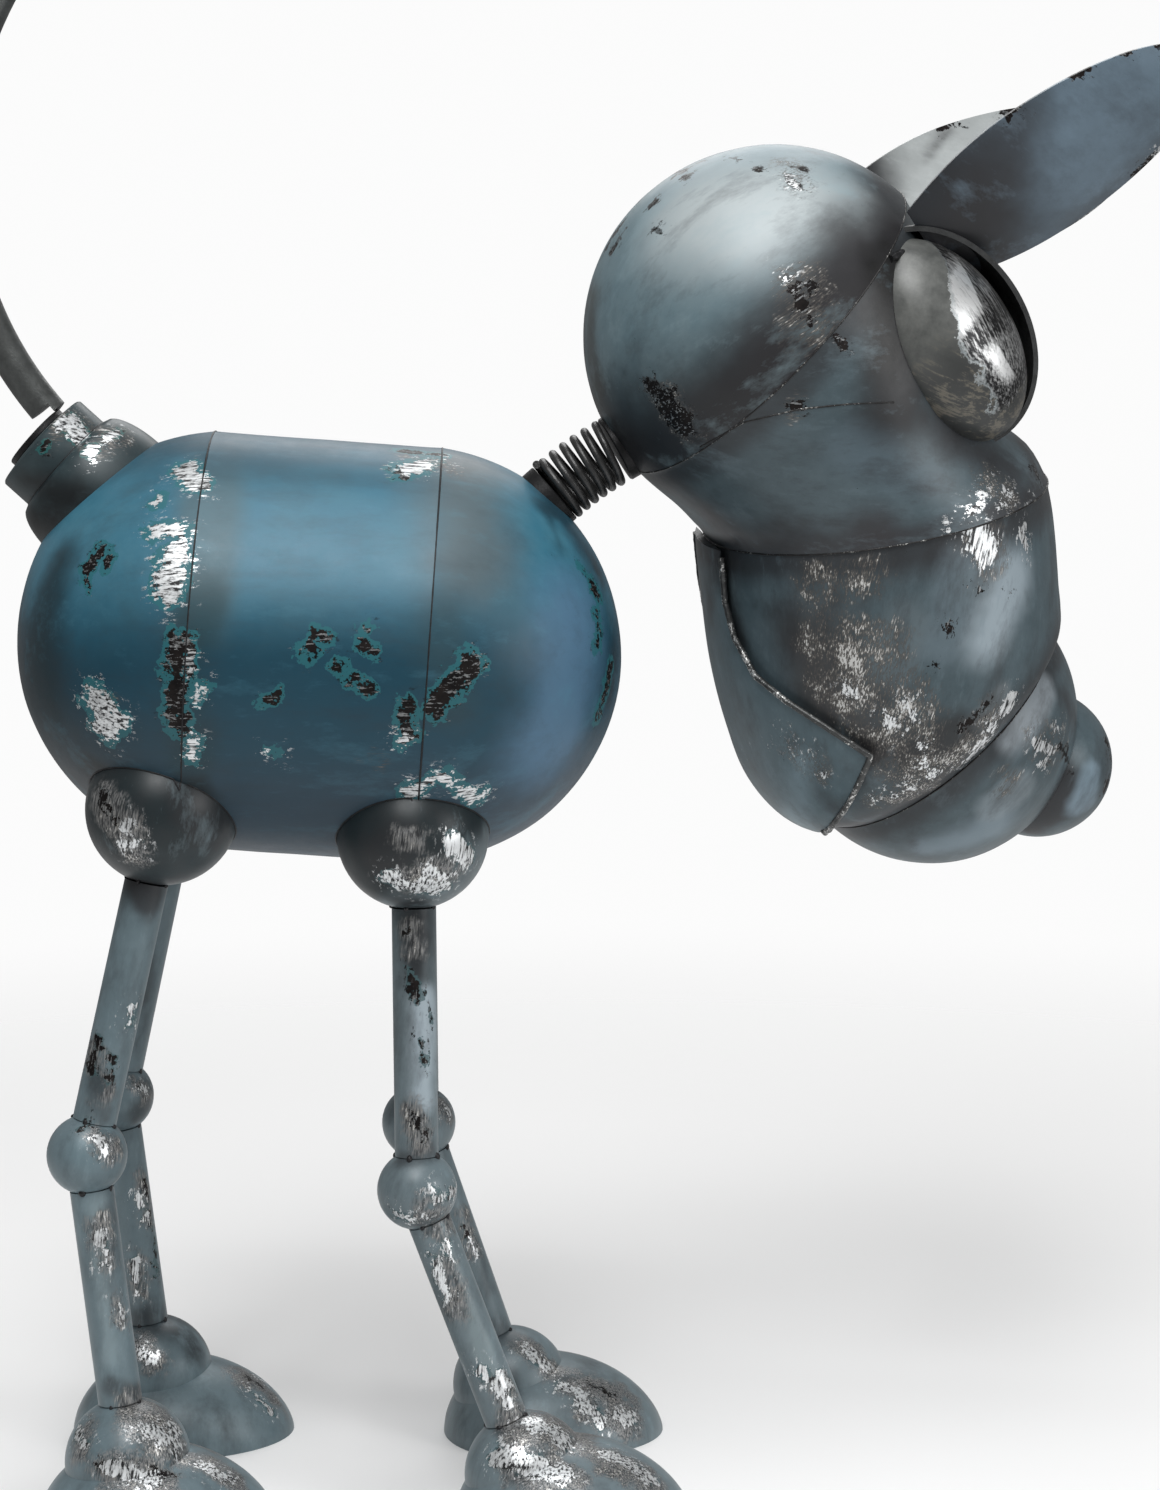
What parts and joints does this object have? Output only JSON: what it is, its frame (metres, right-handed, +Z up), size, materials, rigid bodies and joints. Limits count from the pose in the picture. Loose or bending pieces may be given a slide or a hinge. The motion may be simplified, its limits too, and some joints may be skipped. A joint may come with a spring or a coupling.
{
  "type": "garden dog sculpture",
  "caption": "Standing dog built from round painted steel shells, with straight tube legs, rounded paws, a curved tube tail and a coil spring neck that lets the head nod.",
  "frame": {"origin": "on the ground under the middle of the dog's box", "axes": "+X the way the dog looks, +Y towards its left side, +Z up"},
  "size_m": [0.7304, 0.2984, 0.9684],
  "materials": {
    "body_paint": "satin teal-blue paint with dark airbrushed bands, worn through to bare steel in patches",
    "head_paint": "satin slate-blue paint with dark shading at the seams, worn to bare steel in patches",
    "leg_paint": "satin slate-blue paint, brushed through to steel on the balls and paws",
    "ear_paint": "satin slate-blue paint, dark and chipped along the edges",
    "bare_steel": "brushed bare steel, grey and stained in the lower part",
    "dark_paint": "dark grey satin paint",
    "dark_steel": "dark oiled steel with brighter worn edges"
  },
  "bodies": {
    "body": {"rear_dome": "body_paint", "barrel": "body_paint", "front_dome": "body_paint", "tail_bell": "body_paint", "tail_ring": "body_paint", "tail": "dark_paint", "tail_cap": "dark_steel", "neck_base": "dark_steel", "neck_spring": "dark_steel", "hip_front_right": "leg_paint", "hip_front_left": "leg_paint", "hip_rear_right": "leg_paint", "hip_rear_left": "leg_paint", "upper_leg_front_right": "leg_paint", "upper_leg_front_left": "leg_paint", "upper_leg_rear_right": "leg_paint", "upper_leg_rear_left": "leg_paint", "knee_front_right": "leg_paint", "knee_front_left": "leg_paint", "knee_rear_right": "leg_paint", "knee_rear_left": "leg_paint", "lower_leg_front_right": "leg_paint", "lower_leg_front_left": "leg_paint", "lower_leg_rear_right": "leg_paint", "lower_leg_rear_left": "leg_paint", "ankle_front_right": "leg_paint", "ankle_front_left": "leg_paint", "ankle_rear_right": "leg_paint", "ankle_rear_left": "leg_paint", "paw_front_right": "leg_paint", "paw_front_left": "leg_paint", "paw_rear_right": "leg_paint", "paw_rear_left": "leg_paint"},
    "head": {"neck_cap": "dark_steel", "skull": "head_paint", "face": "head_paint", "muzzle": "head_paint", "nose_dome": "head_paint", "nose_ball": "head_paint", "jaw": "head_paint", "eye_right": "bare_steel", "eye_left": "bare_steel", "eyelid_right": "head_paint", "eyelid_left": "head_paint", "ear_right": "ear_paint", "ear_left": "ear_paint"}
  },
  "joints": [
    {"name": "neck_nod", "type": "hinge", "parent": "body", "child": "head", "pos_m": [0.01097, -0.00515, 0.61257], "axis": [0, 1, 0], "range_deg": [-10, 8], "stiffness_Nm_per_rad": 16, "springref_deg": -19.94, "deforming": ["neck_spring"]}
  ]
}
